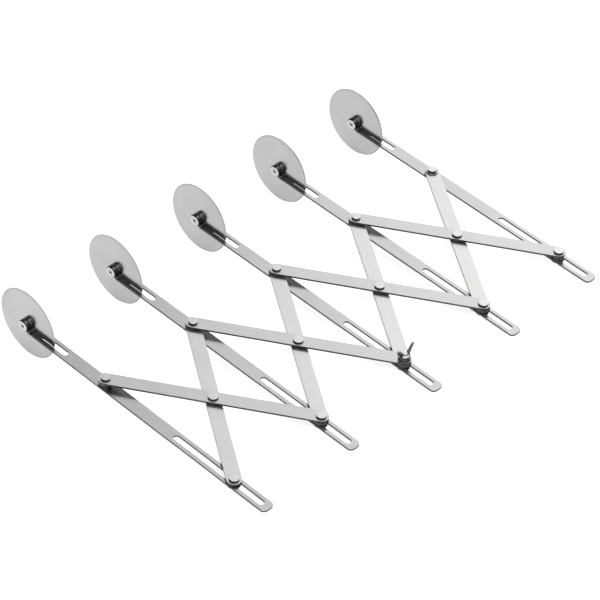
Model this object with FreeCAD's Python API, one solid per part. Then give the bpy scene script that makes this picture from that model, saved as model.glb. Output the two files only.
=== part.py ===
import FreeCAD, Part
import math
import os

# Expanding pastry cutter: five slotted arms, each with a plain disc wheel at its
# front end, held parallel and equally spaced by a scissor lattice of eight links.
# Lengths are millimetres. Everything is first laid out in the arm frame: X along
# the row of wheels, Y along the arms towards the wheels, Z up from the underside
# of the arms, origin below the front pivot of the middle arm. Then the whole
# cutter is tipped back until it rests on its wheel rims and its arm tails.

# --- lattice ---
ARM_COUNT = 5
SPACING = 83.0             # wheel to wheel, lattice half open
LINK_LENGTH = 148.6        # between the end pivots of a link
PIVOT_DROP = math.sqrt(LINK_LENGTH ** 2 - SPACING ** 2)   # front to rear pivots

# --- strip stock ---
THICK = 1.5
ARM_WIDTH = 10.5
LINK_WIDTH = 10.6
SLOT_WIDTH = 4.6
SLIT_WIDTH = 1.6           # narrow cut that the disc passes through near its axle

# --- arm, positions along Y ---
AXLE_Y = 77.0
TAIL_Y = -156.3
REAR_SLOT_FRONT = -66.9
REAR_SLOT_BACK = -150.7
FRONT_SLOT_FRONT = 62.9
FRONT_SLOT_BACK = 38.0

# --- rolled eye at the front of each prong ---
AXLE_Z = 4.6
EYE_INNER = 3.1
EYE_OUTER = 4.6
NECK_INNER = 1.25          # inside radius of the bend that lifts strip into eye
ROLL_END_DEG = -132.0      # where the rolled strip stops, under the axle

# --- wheel ---
WHEEL_X = -1.0             # plane of the disc, a little off the middle line of its arm
WHEEL_RADIUS = 27.5
WHEEL_THICK = 0.8
BEVEL_WIDTH = 1.4
RIM_THICK = 0.3
WHEEL_BORE = 3.06
HUB_WASHER_RADIUS = 4.5
HUB_WASHER_THICK = 0.3

# --- axle: slotted barrel from one side, cross-recess screw from the other ---
BARREL_RADIUS = 3.0
AXLE_HEAD_RADIUS = 3.9
AXLE_HEAD_THICK = 0.9
SCREW_RADIUS = 1.5
BARREL_END_GAP = 0.8

# --- stack heights above the underside of the arms ---
RUN_GAP = 0.1              # axial play between faces that turn on each other
LOW_WASHER_Z = THICK + RUN_GAP
LINK_B_Z = 2.5
MID_WASHER_Z = LINK_B_Z + THICK + RUN_GAP
LINK_A_Z = 5.0
LINK_A_TOP = LINK_A_Z + THICK
LINK_B_TOP = LINK_B_Z + THICK

# --- pivots ---
PIN_RADIUS = 2.0
PIVOT_HOLE = 2.05
FREE_HOLE = 2.1            # hole that carries no joint of its own
FRONT_HEAD_RADIUS = 3.3
MIDDLE_HEAD_RADIUS = 3.7
REAR_HEAD_RADIUS = 3.7
HEAD_THICK = 1.4
HEAD_EDGE = 0.35
TAIL_HEAD_RADIUS = 3.2
TAIL_HEAD_THICK = 0.9
MID_TAIL_THICK = 0.8
WASHER_RADIUS = 4.6
FOOT_WASHER_RADIUS = 4.8
FOOT_WASHER_THICK = 1.0
FOOT_GAP = 0.2
FOOT_HEAD_THICK = 1.0

# --- wing nut and lock bolt on the middle rear pivot ---
NUT_RADIUS_LOW = 4.5
NUT_RADIUS_HIGH = 4.1
NUT_HEIGHT = 4.2
NUT_Z = LINK_A_TOP + RUN_GAP
NUT_BORE = 2.05
WING_THICK = 1.8
BOLT_TOP = NUT_Z + NUT_HEIGHT + 1.1


def resting_tilt():
    """Angle between the arms and the table, and its sine and cosine."""
    reach = math.hypot(AXLE_Y - TAIL_Y, AXLE_Z)
    rise = math.atan2(AXLE_Z, AXLE_Y - TAIL_Y)
    angle = math.asin(WHEEL_RADIUS / reach) - rise
    return angle, math.sin(angle), math.cos(angle)


TILT, TILT_SIN, TILT_COS = resting_tilt()
LIFT = -TAIL_Y * TILT_SIN
FRONT_EDGE = AXLE_Y * TILT_COS - AXLE_Z * TILT_SIN + WHEEL_RADIUS
BACK_EDGE = TAIL_Y * TILT_COS - THICK * TILT_SIN
SHIFT_Y = -(FRONT_EDGE + BACK_EDGE) / 2.0


def vec(x, y, z):
    return FreeCAD.Vector(x, y, z)


def arm_x(number):
    """X of arm 1 to 5."""
    return (number - 3) * SPACING


def cylinder(radius, height, x, y, z):
    return Part.makeCylinder(radius, height, vec(x, y, z), vec(0, 0, 1))


def ring(outer, inner, height, x, y, z):
    return cylinder(outer, height, x, y, z).cut(cylinder(inner, height, x, y, z))


def slot_tool(width, back, front):
    """Round-ended slot along Y, cut right through a strip at X = 0."""
    radius = width / 2.0
    body = Part.makeBox(width, front - back - width, 3 * THICK,
                        vec(-radius, back + radius, -THICK))
    body = body.fuse(cylinder(radius, 3 * THICK, 0, back + radius, -THICK))
    return body.fuse(cylinder(radius, 3 * THICK, 0, front - radius, -THICK))


def arc_edge(first, middle, last):
    return Part.Arc(first, middle, last).toShape()


def polar(centre, radius, degrees):
    """Point in the YZ plane at an angle from +Y towards +Z."""
    angle = math.radians(degrees)
    return vec(0, centre[0] + radius * math.cos(angle),
               centre[1] + radius * math.sin(angle))


def round_arc(centre, radius, start, end):
    return arc_edge(polar(centre, radius, start), polar(centre, radius, (start + end) / 2.0),
                    polar(centre, radius, end))


def neck_start():
    """Y of the line where the flat strip starts to rise into the eye, and neck angle."""
    neck_middle = NECK_INNER + THICK / 2.0
    eye_middle = (EYE_INNER + EYE_OUTER) / 2.0
    drop = AXLE_Z - (THICK / 2.0 + neck_middle)
    along = math.sqrt((neck_middle + eye_middle) ** 2 - drop ** 2)
    return AXLE_Y - along, math.degrees(math.atan2(drop, along))


def eye_prong(x_low, x_high):
    """One rolled eye: strip lifted by a neck bend, then wrapped around the axle."""
    start_y, angle = neck_start()
    neck = (start_y, NECK_INNER + THICK)
    axle = (AXLE_Y, AXLE_Z)
    around = 180.0 + angle
    edges = [
        round_arc(neck, NECK_INNER + THICK, -90.0, angle),
        round_arc(axle, EYE_INNER, around, ROLL_END_DEG),
        Part.makeLine(polar(axle, EYE_INNER, ROLL_END_DEG), polar(axle, EYE_OUTER, ROLL_END_DEG)),
        round_arc(axle, EYE_OUTER, ROLL_END_DEG, around),
        round_arc(neck, NECK_INNER, angle, -90.0),
        Part.makeLine(polar(neck, NECK_INNER, -90.0), polar(neck, NECK_INNER + THICK, -90.0)),
    ]
    face = Part.Face(Part.Wire(Part.__sortEdges__(edges)))
    prong = face.extrude(vec(x_high - x_low, 0, 0))
    prong.translate(vec(x_low, 0, 0))
    return prong


def arm_blank():
    """Flat strip with a shallow arc and rounded corners at the tail."""
    half = ARM_WIDTH / 2.0
    front = neck_start()[0]
    right = vec(half, front, 0)
    left = vec(-half, front, 0)
    low_right = vec(half, TAIL_Y + 2.9, 0)
    low_left = vec(-half, TAIL_Y + 2.9, 0)
    tip_right = vec(half - 1.6, TAIL_Y + 0.75, 0)
    tip_left = vec(1.6 - half, TAIL_Y + 0.75, 0)
    bend_right = vec(half - 0.5, TAIL_Y + 1.5, 0)
    bend_left = vec(0.5 - half, TAIL_Y + 1.5, 0)
    edges = [
        Part.makeLine(left, right),
        Part.makeLine(right, low_right),
        arc_edge(low_right, bend_right, tip_right),
        arc_edge(tip_right, vec(0, TAIL_Y, 0), tip_left),
        arc_edge(tip_left, bend_left, low_left),
        Part.makeLine(low_left, left),
    ]
    return Part.Face(Part.Wire(edges)).extrude(vec(0, 0, THICK))


def arm(number):
    """Slotted arm with a forked front end whose prongs are rolled into eyes."""
    half = ARM_WIDTH / 2.0
    gap = SLIT_WIDTH / 2.0
    body = arm_blank()
    body = body.cut(slot_tool(SLOT_WIDTH, REAR_SLOT_BACK, REAR_SLOT_FRONT))
    body = body.cut(slot_tool(SLOT_WIDTH, FRONT_SLOT_BACK, FRONT_SLOT_FRONT))
    slit = Part.makeBox(SLIT_WIDTH, 20.0, 3 * THICK,
                        vec(WHEEL_X - gap, FRONT_SLOT_FRONT - 1.0, -THICK))
    body = body.cut(slit)
    body = body.cut(cylinder(PIN_RADIUS, 3 * THICK, 0, 0, -THICK))
    body = body.fuse([eye_prong(-half, WHEEL_X - gap), eye_prong(WHEEL_X + gap, half)])
    body = body.removeSplitter()
    body.translate(vec(arm_x(number), 0, 0))
    return body


def link(start, end, level, start_hole, middle_hole, end_hole):
    """Flat link with full-round ends and holes at both ends and at mid-length."""
    run = end.sub(start)
    length = run.Length
    half = LINK_WIDTH / 2.0
    edges = [
        Part.makeLine(vec(0, half, 0), vec(length, half, 0)),
        arc_edge(vec(length, half, 0), vec(length + half, 0, 0), vec(length, -half, 0)),
        Part.makeLine(vec(length, -half, 0), vec(0, -half, 0)),
        arc_edge(vec(0, -half, 0), vec(-half, 0, 0), vec(0, half, 0)),
    ]
    body = Part.Face(Part.Wire(edges)).extrude(vec(0, 0, THICK))
    for place, radius in ((0, start_hole), (length / 2.0, middle_hole), (length, end_hole)):
        body = body.cut(cylinder(radius, 3 * THICK, place, 0, -THICK))
    body.rotate(vec(0, 0, 0), vec(0, 0, 1), math.degrees(math.atan2(run.y, run.x)))
    body.translate(vec(start.x, start.y, level))
    return body


def link_a(number):
    """Upper link, from front pivot number to rear pivot number + 1."""
    start = vec(arm_x(number), 0, 0)
    end = vec(arm_x(number + 1), -PIVOT_DROP, 0)
    return link(start, end, LINK_A_Z, PIVOT_HOLE, PIN_RADIUS, PIN_RADIUS)


def link_b(number):
    """Lower link, from front pivot number + 1 back to rear pivot number."""
    start = vec(arm_x(number + 1), 0, 0)
    end = vec(arm_x(number), -PIVOT_DROP, 0)
    end_hole = PIN_RADIUS if number == 1 else FREE_HOLE
    return link(start, end, LINK_B_Z, PIVOT_HOLE, PIVOT_HOLE, end_hole)


def revolved_about_x(points):
    """Solid turned about the X axis from (x, radius) corner points."""
    corners = [vec(x, radius, 0) for x, radius in points]
    corners.append(corners[0])
    face = Part.Face(Part.makePolygon(corners))
    return face.revolve(vec(0, 0, 0), vec(1, 0, 0), 360)


def at_axle(shape, number, offset=0.0):
    shape.translate(vec(arm_x(number) + offset, AXLE_Y, AXLE_Z))
    return shape


def wheel(number):
    """Thin plain disc with a bevelled cutting rim and a round bore."""
    half = WHEEL_THICK / 2.0
    rim = RIM_THICK / 2.0
    shoulder = WHEEL_RADIUS - BEVEL_WIDTH
    disc = revolved_about_x([
        (-half, WHEEL_BORE), (-half, shoulder), (-rim, WHEEL_RADIUS),
        (rim, WHEEL_RADIUS), (half, shoulder), (half, WHEEL_BORE),
    ])
    return at_axle(disc, number, WHEEL_X)


def wheel_washers(number):
    """Thin washer on each face of the disc that keeps it clear of the fork."""
    half = WHEEL_THICK / 2.0
    outer = half + HUB_WASHER_THICK
    pair = []
    for low, high in ((-outer, -half), (half, outer)):
        pair.append(revolved_about_x([
            (low, WHEEL_BORE), (low, HUB_WASHER_RADIUS),
            (high, HUB_WASHER_RADIUS), (high, WHEEL_BORE),
        ]))
    return at_axle(Part.makeCompound(pair), number, WHEEL_X)


def axle_barrel(number):
    """Hollow axle with a low slotted head on the +X side of the fork."""
    face = ARM_WIDTH / 2.0
    end = -face + BARREL_END_GAP
    head = face + AXLE_HEAD_THICK
    barrel = revolved_about_x([
        (end, SCREW_RADIUS), (end, BARREL_RADIUS), (face, BARREL_RADIUS),
        (face, AXLE_HEAD_RADIUS), (head - 0.4, AXLE_HEAD_RADIUS),
        (head, AXLE_HEAD_RADIUS - 0.6), (head, 0), (face, 0), (face, SCREW_RADIUS),
    ])
    slot = Part.makeBox(0.5, 9.0, 0.9, vec(head - 0.5, -4.5, -0.45))
    return at_axle(barrel.cut(slot), number)


def axle_screw(number):
    """Cross-recess screw that closes the barrel from the -X side."""
    face = -ARM_WIDTH / 2.0
    head = face - AXLE_HEAD_THICK
    tip = ARM_WIDTH / 2.0 - 1.0
    screw = revolved_about_x([
        (head, 0), (head, AXLE_HEAD_RADIUS - 0.6), (head + 0.4, AXLE_HEAD_RADIUS),
        (face, AXLE_HEAD_RADIUS), (face, SCREW_RADIUS), (tip, SCREW_RADIUS), (tip, 0),
    ])
    for turn in (45.0, 135.0):
        recess = Part.makeBox(0.6, 4.4, 0.8, vec(head, -2.2, -0.4))
        recess.rotate(vec(0, 0, 0), vec(1, 0, 0), turn)
        screw = screw.cut(recess)
    return at_axle(screw, number)


def round_head(radius, height, x, y, z):
    """Flat round rivet head with a bevelled upper edge, resting at height z."""
    low = cylinder(radius, height - HEAD_EDGE, x, y, z)
    top = Part.makeCone(radius, radius - HEAD_EDGE, HEAD_EDGE,
                        vec(x, y, z + height - HEAD_EDGE), vec(0, 0, 1))
    return low.fuse(top)


def front_rivet(number):
    """Rivet fixed in the arm; the front ends of the links turn on it."""
    x = arm_x(number)
    seat = LINK_A_TOP + RUN_GAP
    if number == ARM_COUNT:
        seat = LINK_A_Z
    body = cylinder(PIN_RADIUS, seat, x, 0, 0)
    tail = cylinder(TAIL_HEAD_RADIUS, TAIL_HEAD_THICK, x, 0, -TAIL_HEAD_THICK)
    return body.fuse([round_head(FRONT_HEAD_RADIUS, HEAD_THICK, x, 0, seat), tail]).removeSplitter()


def middle_rivet(number):
    """Rivet fixed in the upper link where the two links of a cell cross."""
    x = arm_x(number) + SPACING / 2.0
    y = -PIVOT_DROP / 2.0
    low = LINK_B_Z - RUN_GAP - MID_TAIL_THICK
    body = cylinder(PIN_RADIUS, LINK_A_TOP - low, x, y, low)
    tail = cylinder(TAIL_HEAD_RADIUS, MID_TAIL_THICK, x, y, low)
    head = round_head(MIDDLE_HEAD_RADIUS, HEAD_THICK, x, y, LINK_A_TOP)
    return body.fuse([head, tail]).removeSplitter()


def rear_foot(x, y):
    """Round head below the sliding foot washer."""
    low = -FOOT_GAP - FOOT_WASHER_THICK - FOOT_HEAD_THICK
    return low, cylinder(TAIL_HEAD_RADIUS, FOOT_HEAD_THICK, x, y, low)


def rear_pin(number):
    """Headed pin that rides on a link and slides along the rear slot of its arm."""
    x = arm_x(number)
    y = -PIVOT_DROP
    seat = LINK_B_TOP if number == 1 else LINK_A_TOP
    low, foot = rear_foot(x, y)
    body = cylinder(PIN_RADIUS, seat - low, x, y, low)
    return body.fuse([round_head(REAR_HEAD_RADIUS, HEAD_THICK, x, y, seat), foot]).removeSplitter()


def lock_bolt():
    """Bolt through the middle rear pivot, clamped by the wing nut."""
    x = arm_x(3)
    y = -PIVOT_DROP
    low, foot = rear_foot(x, y)
    body = cylinder(PIN_RADIUS, BOLT_TOP - 0.5 - low, x, y, low)
    end = Part.makeCone(PIN_RADIUS, PIN_RADIUS - 0.5, 0.5, vec(x, y, BOLT_TOP - 0.5), vec(0, 0, 1))
    return body.fuse([end, foot]).removeSplitter()


def wing(side):
    """One flat wing in the XZ plane, leaning outwards, with a round tip."""
    top = NUT_HEIGHT
    tip = vec(6.9, 0, top + 5.6)
    corners = [
        vec(2.6, 0, top - 0.7), vec(3.9, 0, top - 3.0), vec(8.25, 0, top + 4.75),
        vec(5.5, 0, top + 6.35), vec(2.6, 0, top - 0.7),
    ]
    blade = Part.Face(Part.makePolygon(corners)).extrude(vec(0, WING_THICK, 0))
    blade = blade.fuse(Part.makeCylinder(1.6, WING_THICK, tip, vec(0, 1, 0)))
    blade.translate(vec(0, -WING_THICK / 2.0, 0))
    if side < 0:
        blade.rotate(vec(0, 0, 0), vec(0, 0, 1), 180)
    return blade


def wing_nut():
    """Round tapered boss with two upright wings and a plain bore."""
    boss = Part.makeCone(NUT_RADIUS_LOW, NUT_RADIUS_HIGH, NUT_HEIGHT)
    body = boss.fuse([wing(1), wing(-1)]).removeSplitter()
    body = body.cut(cylinder(NUT_BORE, 3 * NUT_HEIGHT, 0, 0, -1.0))
    body.translate(vec(arm_x(3), -PIVOT_DROP, NUT_Z))
    return body


def link_a_washers(number):
    """Washers and spacers that ride under an upper link, with its foot washer."""
    front_x = arm_x(number)
    rear_x = arm_x(number + 1)
    middle_x = front_x + SPACING / 2.0
    height = LINK_A_Z - MID_WASHER_Z
    tall = LINK_A_Z - LOW_WASHER_Z
    pieces = [ring(WASHER_RADIUS, PIN_RADIUS, height, middle_x, -PIVOT_DROP / 2.0, MID_WASHER_Z)]
    if number == 1:
        pieces.append(ring(WASHER_RADIUS, PIVOT_HOLE, tall, front_x, 0, LOW_WASHER_Z))
    else:
        pieces.append(ring(WASHER_RADIUS, PIVOT_HOLE, height, front_x, 0, MID_WASHER_Z))
    if number == ARM_COUNT - 1:
        pieces.append(ring(WASHER_RADIUS, PIN_RADIUS, tall, rear_x, -PIVOT_DROP, LOW_WASHER_Z))
    else:
        pieces.append(ring(WASHER_RADIUS, PIN_RADIUS, height, rear_x, -PIVOT_DROP, MID_WASHER_Z))
    pieces.append(foot_washer(number + 1))
    return Part.makeCompound(pieces)


def foot_washer(number):
    low = -FOOT_GAP - FOOT_WASHER_THICK
    return ring(FOOT_WASHER_RADIUS, PIN_RADIUS, FOOT_WASHER_THICK, arm_x(number), -PIVOT_DROP, low)


def link_b_washers(number):
    """Washers that ride under a lower link, and the foot washer of rear pin 1."""
    height = LINK_B_Z - LOW_WASHER_Z
    hole = PIN_RADIUS if number == 1 else FREE_HOLE
    pieces = [
        ring(WASHER_RADIUS, PIVOT_HOLE, height, arm_x(number + 1), 0, LOW_WASHER_Z),
        ring(WASHER_RADIUS, hole, height, arm_x(number), -PIVOT_DROP, LOW_WASHER_Z),
    ]
    if number == 1:
        pieces.append(foot_washer(1))
    return Part.makeCompound(pieces)


def front_top_washer():
    """Washer that fills the upper level under the head of the last front rivet."""
    height = LINK_A_Z - MID_WASHER_Z
    return ring(WASHER_RADIUS, PIN_RADIUS, height, arm_x(ARM_COUNT), 0, MID_WASHER_Z)


def export(name, shape):
    """Tip the cutter onto its wheels and tails, then write one STEP file."""
    placed = shape.copy()
    placed.rotate(vec(0, 0, 0), vec(1, 0, 0), math.degrees(TILT))
    placed.translate(vec(0, SHIFT_Y, LIFT))
    placed.exportStep("parts/" + name + ".step")


os.makedirs("parts", exist_ok=True)
for n in range(1, ARM_COUNT + 1):
    export("arm_%d" % n, arm(n))
    export("wheel_%d" % n, wheel(n))
    export("wheel_washers_%d" % n, wheel_washers(n))
    export("axle_barrel_%d" % n, axle_barrel(n))
    export("axle_screw_%d" % n, axle_screw(n))
    export("front_rivet_%d" % n, front_rivet(n))
for n in range(1, ARM_COUNT):
    export("link_a_%d" % n, link_a(n))
    export("link_b_%d" % n, link_b(n))
    export("middle_rivet_%d" % n, middle_rivet(n))
    export("link_a_washers_%d" % n, link_a_washers(n))
    export("link_b_washers_%d" % n, link_b_washers(n))
for n in (1, 2, 4, 5):
    export("rear_pin_%d" % n, rear_pin(n))
export("lock_bolt", lock_bolt())
export("wing_nut", wing_nut())
export("front_top_washer", front_top_washer())
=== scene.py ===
import math

import bmesh
import bpy
from mathutils import Matrix, Vector

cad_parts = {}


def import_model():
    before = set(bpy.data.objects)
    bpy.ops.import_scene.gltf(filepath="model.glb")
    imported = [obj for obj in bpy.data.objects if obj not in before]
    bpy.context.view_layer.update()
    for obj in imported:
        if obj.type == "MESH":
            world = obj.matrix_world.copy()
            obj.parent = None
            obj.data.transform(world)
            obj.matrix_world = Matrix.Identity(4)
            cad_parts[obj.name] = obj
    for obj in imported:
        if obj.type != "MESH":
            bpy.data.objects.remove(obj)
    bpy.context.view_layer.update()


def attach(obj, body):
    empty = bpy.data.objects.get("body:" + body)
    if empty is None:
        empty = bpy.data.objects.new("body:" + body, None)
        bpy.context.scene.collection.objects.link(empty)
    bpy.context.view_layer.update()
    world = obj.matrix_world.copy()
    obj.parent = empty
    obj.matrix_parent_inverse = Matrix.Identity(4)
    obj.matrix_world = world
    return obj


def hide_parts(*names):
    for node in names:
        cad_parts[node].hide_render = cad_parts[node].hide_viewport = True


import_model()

# Expanding pastry cutter. Shapes are laid out in millimetres in the arm frame of the
# CAD: X along the row of wheels, Y along the arms towards the wheels, Z up from the
# underside of the arms, origin below the front pivot of the middle arm. TO_ROW tips
# them onto the wheel rims and arm tails and turns them into metres.

# --- named dimensions, as in the CAD ---
SPACING = 83.0
LINK_LENGTH = 148.6
PIVOT_DROP = math.sqrt(LINK_LENGTH ** 2 - SPACING ** 2)
THICK = 1.5
ARM_WIDTH = 10.5
LINK_WIDTH = 10.6
SLOT_WIDTH = 4.6
SLIT_WIDTH = 1.6
AXLE_Y = 77.0
TAIL_Y = -156.3
REAR_SLOT_FRONT = -66.9
REAR_SLOT_BACK = -150.7
FRONT_SLOT_FRONT = 62.9
FRONT_SLOT_BACK = 38.0
TAIL_NOSE = 0.75          # blunt rounding at the very end of an arm's tail
TAIL_CORNER = 2.15        # length of the corner rounding ahead of it
TAIL_CORNER_IN = 1.6      # how far that corner comes in
AXLE_Z = 4.6
EYE_INNER = 3.1
EYE_OUTER = 4.6
NECK_INNER = 1.25
ROLL_END = math.radians(-132.0)
PRONG_LENGTH = 9.0        # the painted shade of the arm's prongs starts this far behind the axle
WHEEL_X = -1.0
WHEEL_RADIUS = 27.5
WHEEL_THICK = 0.8
BEVEL_WIDTH = 1.4
RIM_THICK = 0.3
WHEEL_BORE = 3.06
WHEEL_BAND = 6.0          # extra rings in a disc's flat face, this far in and out
SHOULDER_EASE = 0.1
SHOULDER_DROP = 0.03
RIM_EASE = 0.08
HUB_WASHER_RADIUS = 4.5
HUB_WASHER_THICK = 0.3
BARREL_RADIUS = 3.0
AXLE_HEAD_RADIUS = 3.9
AXLE_HEAD_THICK = 0.9
SCREW_RADIUS = 1.5
SCREW_TIP_GAP = 1.0
SCREW_HEAD_EDGE = 0.35
RECESS_HALF = 0.42
RECESS_REACH = 2.2
RECESS_DEPTH = 0.6
RECESS_TAPER = 0.85
BARREL_END_GAP = 0.8
BARREL_HEAD_EDGE = 0.3
BARREL_HEAD_EASE = 0.09
BARREL_SLOT_HALF = 0.45
BARREL_SLOT_DEPTH = 0.5
RUN_GAP = 0.1
LOW_WASHER_Z = 1.6
LINK_B_Z = 2.5
MID_WASHER_Z = 4.1
LINK_A_Z = 5.0
LINK_A_TOP = 6.5
LINK_B_TOP = 4.0
PIN_RADIUS = 2.0
FRONT_HEAD_RADIUS = 3.3
MIDDLE_HEAD_RADIUS = 3.7
REAR_HEAD_RADIUS = 3.7
HEAD_THICK = 1.4
HEAD_EDGE = 0.16
HEAD_SHOULDER = 62.0      # degrees of the head's rounded shoulder
CROWN_STEPS = 6
FOOT_EDGE = 0.2
TAIL_EDGE = 0.08
WASHER_EDGE = 0.12
HUB_WASHER_EDGE = 0.08
TURN_SLACK = 0.05         # washer bores that turn about a front rivet
PASS_SLACK = 0.1          # lower-link washers that a rear pin passes through
TAIL_HEAD_RADIUS = 3.2
TAIL_HEAD_THICK = 0.9
MID_TAIL_THICK = 0.8
WASHER_RADIUS = 4.6
FOOT_WASHER_RADIUS = 4.8
FOOT_WASHER_THICK = 1.0
FOOT_GAP = 0.2
FOOT_HEAD_THICK = 1.0
NUT_RADIUS_LOW = 4.5
NUT_RADIUS_HIGH = 4.1
NUT_HEIGHT = 4.2
NUT_Z = 6.6
NUT_BORE = 2.05
NUT_LOW_EDGE = 0.3
NUT_TOP_EDGE = 0.5
BOLT_TOP = 11.9
THREAD_PITCH = 0.7
THREAD_DEPTH = 0.22
WING_ROOT_X = 3.0
WING_ROOT_SINK = 2.0
WING_TIP_X = 6.9
WING_TIP_RISE = 5.6
WING_TIP_SHARE = 0.19     # round tip beyond the wing's run, as a share of it
WING_TIP_STEPS = 6
WING_POINTS = 24
WING_SQUARENESS = 0.7     # 1 is an ellipse, less is squarer
# share of the wing's run, half width, half thickness
WING_SECTIONS = ((0.0, 1.5, 1.15), (0.3, 1.6, 1.0), (0.6, 1.62, 0.9), (0.85, 1.6, 0.85),
                 (1.0, 1.55, 0.8))

MM = 0.001
WELD = 1e-5               # corners closer than this are one
EDGE = 0.14               # rounding of sheared strip edges
EDGE_STEPS = 2
ROUND_STEPS = 14          # steps in a quarter of a strip's round end
ROLL_STEPS = 64
NECK_STEPS = 10
TURNED_STEPS = 56
SCREW_STEPS = 64
NUT_STEPS = 64
HALF_HEAD_STEPS = 24
BARREL_STEPS = 48
WHEEL_STEPS = 192
FLAT_ENOUGH = 0.9999      # faces this square to the strips or the axle are shaded flat


def resting_tilt():
    reach = math.hypot(AXLE_Y - TAIL_Y, AXLE_Z)
    rise = math.atan2(AXLE_Z, AXLE_Y - TAIL_Y)
    return math.asin(WHEEL_RADIUS / reach) - rise


TILT = resting_tilt()
LIFT = -TAIL_Y * math.sin(TILT)
FRONT_EDGE = AXLE_Y * math.cos(TILT) - AXLE_Z * math.sin(TILT) + WHEEL_RADIUS
BACK_EDGE = TAIL_Y * math.cos(TILT) - THICK * math.sin(TILT)
SHIFT_Y = -(FRONT_EDGE + BACK_EDGE) / 2.0
TO_ROW = (Matrix.Translation((0, SHIFT_Y * MM, LIFT * MM))
          @ Matrix.Rotation(TILT, 4, "X") @ Matrix.Scale(MM, 4))
AXLE_ROW = TO_ROW @ Vector((0, AXLE_Y, AXLE_Z))
ARM_UP = Vector((0.0, -math.sin(TILT), math.cos(TILT)))
ALONG_AXLE = Vector((1.0, 0.0, 0.0))


def arm_x(number):
    return (number - 3) * SPACING


# ---------------------------------------------------------------- mesh helpers

def finish_mesh(bm, name, body, nodes, material, smooth_deg=35.0):
    bmesh.ops.remove_doubles(bm, verts=bm.verts, dist=WELD)
    bmesh.ops.recalc_face_normals(bm, faces=bm.faces)
    bmesh.ops.transform(bm, matrix=TO_ROW, verts=bm.verts)
    limit = math.radians(smooth_deg)
    for face in bm.faces:
        squareness = max(abs(face.normal.dot(ARM_UP)), abs(face.normal.x))
        face.smooth = squareness < FLAT_ENOUGH
    for edge in bm.edges:
        if len(edge.link_faces) == 2 and edge.calc_face_angle() > limit:
            edge.smooth = False
    mesh = bpy.data.meshes.new(name)
    bm.to_mesh(mesh)
    bm.free()
    piece = bpy.data.objects.new(name, mesh)
    bpy.context.scene.collection.objects.link(piece)
    mesh.materials.append(material)
    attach(piece, body)
    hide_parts(*nodes)
    return piece


def round_edges(bm, width, steps, angle_deg=40.0):
    """Round every edge sharper than the angle."""
    limit = math.radians(angle_deg)
    sharp = [e for e in bm.edges if len(e.link_faces) == 2 and e.calc_face_angle() > limit]
    bmesh.ops.bevel(bm, geom=sharp, offset=width, offset_type="OFFSET", segments=steps,
                    profile=0.5, affect="EDGES", clamp_overlap=False)


def arc(centre, radius, start_deg, end_deg, steps):
    """Points on an arc in a profile plane, both ends included."""
    points = []
    for i in range(steps + 1):
        a = math.radians(start_deg + (end_deg - start_deg) * i / steps)
        points.append((centre[0] + radius * math.cos(a), centre[1] + radius * math.sin(a)))
    return points


def lathe(bm, profile, matrix, steps):
    """Turn a closed or axis-to-axis (radius, height) profile about local Z."""
    rings = []
    for radius, height in profile:
        if radius < 1e-6:
            rings.append([bm.verts.new(matrix @ Vector((0, 0, height)))])
            continue
        rings.append([
            bm.verts.new(matrix @ Vector((radius * math.cos(2 * math.pi * k / steps),
                                          radius * math.sin(2 * math.pi * k / steps), height)))
            for k in range(steps)])
    closed = profile[0][0] > 1e-6
    count = len(rings)
    for i in range(count if closed else count - 1):
        low = rings[i]
        high = rings[(i + 1) % count]
        for k in range(steps):
            after = (k + 1) % steps
            corners = []
            for v in (low[k % len(low)], low[after % len(low)],
                      high[after % len(high)], high[k % len(high)]):
                if v not in corners:
                    corners.append(v)
            if len(corners) > 2:
                bm.faces.new(corners)


def band(bm, low, high):
    """Quads between two closed loops of as many vertices."""
    count = len(low)
    for k in range(count):
        m = (k + 1) % count
        bm.faces.new((low[k], low[m], high[m], high[k]))


def washer_profile(outer, inner, low, high, edge=WASHER_EDGE):
    """Closed profile of a washer with softened outer edges."""
    points = [(inner, low)]
    points += arc((outer - edge, low + edge), edge, -90, 0, 3)
    points += arc((outer - edge, high - edge), edge, 0, 90, 3)
    points.append((inner, high))
    return points


def head_profile(radius, low, high):
    """Rivet head from its rim up to the axis: straight side, round shoulder, low crown."""
    points = [(radius, low)]
    points += arc((radius - HEAD_EDGE, high - HEAD_EDGE), HEAD_EDGE, 0, HEAD_SHOULDER, 5)
    last_r, last_z = points[-1]
    for i in range(1, CROWN_STEPS + 1):
        t = i / CROWN_STEPS
        points.append((last_r * (1 - t), last_z + (high - last_z) * (1 - (1 - t) ** 2)))
    return points


def upright(x, y):
    """Local Z up from the underside of the arms."""
    return Matrix.Translation((x, y, 0))


def across(x):
    """Local Z along +X on the axle line, so lathe heights become X offsets."""
    return Matrix.Translation((x, AXLE_Y, AXLE_Z)) @ Matrix.Rotation(math.pi / 2, 4, "Y")


# ---------------------------------------------------------------- materials

NOISE_LOW = 0.3            # the stretch of a noise value that the looks are spread over
NOISE_HIGH = 0.7
BRUSH_SCALE = 5200.0       # noise scales, features per metre
BROAD_SCALE = 900.0
CLOUD_SCALE = 45.0
RING_SCALE = 3800.0
SATIN_SCALE = 2600.0
DISC_CLOUD_SCALE = 60.0
SCUFF_SCALE = 700.0
TURNED_GRAIN = 3000.0
CAST_GRAIN = 1600.0
STRETCH = 0.02             # noise scale along the brushing against across it
FACE_FROM = 0.3            # squareness from which hardware turns from its painted side tone to its face tone
FACE_TO = 0.8
FLAT_FROM = 0.6            # and strips from the painted shade of their sheared sides to flat
FLAT_TO = 0.97
UNDER_SHADE_FULL = -0.6          # facing this far down, a strip has the full painted shade of its underside
CLOUD_TONE = 0.015         # large soft patches, lighter or darker by this much
FINE_BUMP = (0.03, 0.00002)    # strength and height in metres of brushed and ground lines
SCUFF_BUMP = (0.15, 0.00005)
STRIP_TINT = (1.0, 1.0, 0.995)
BEVEL_TONE = 0.86          # ground bevel against the disc's faces
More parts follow.
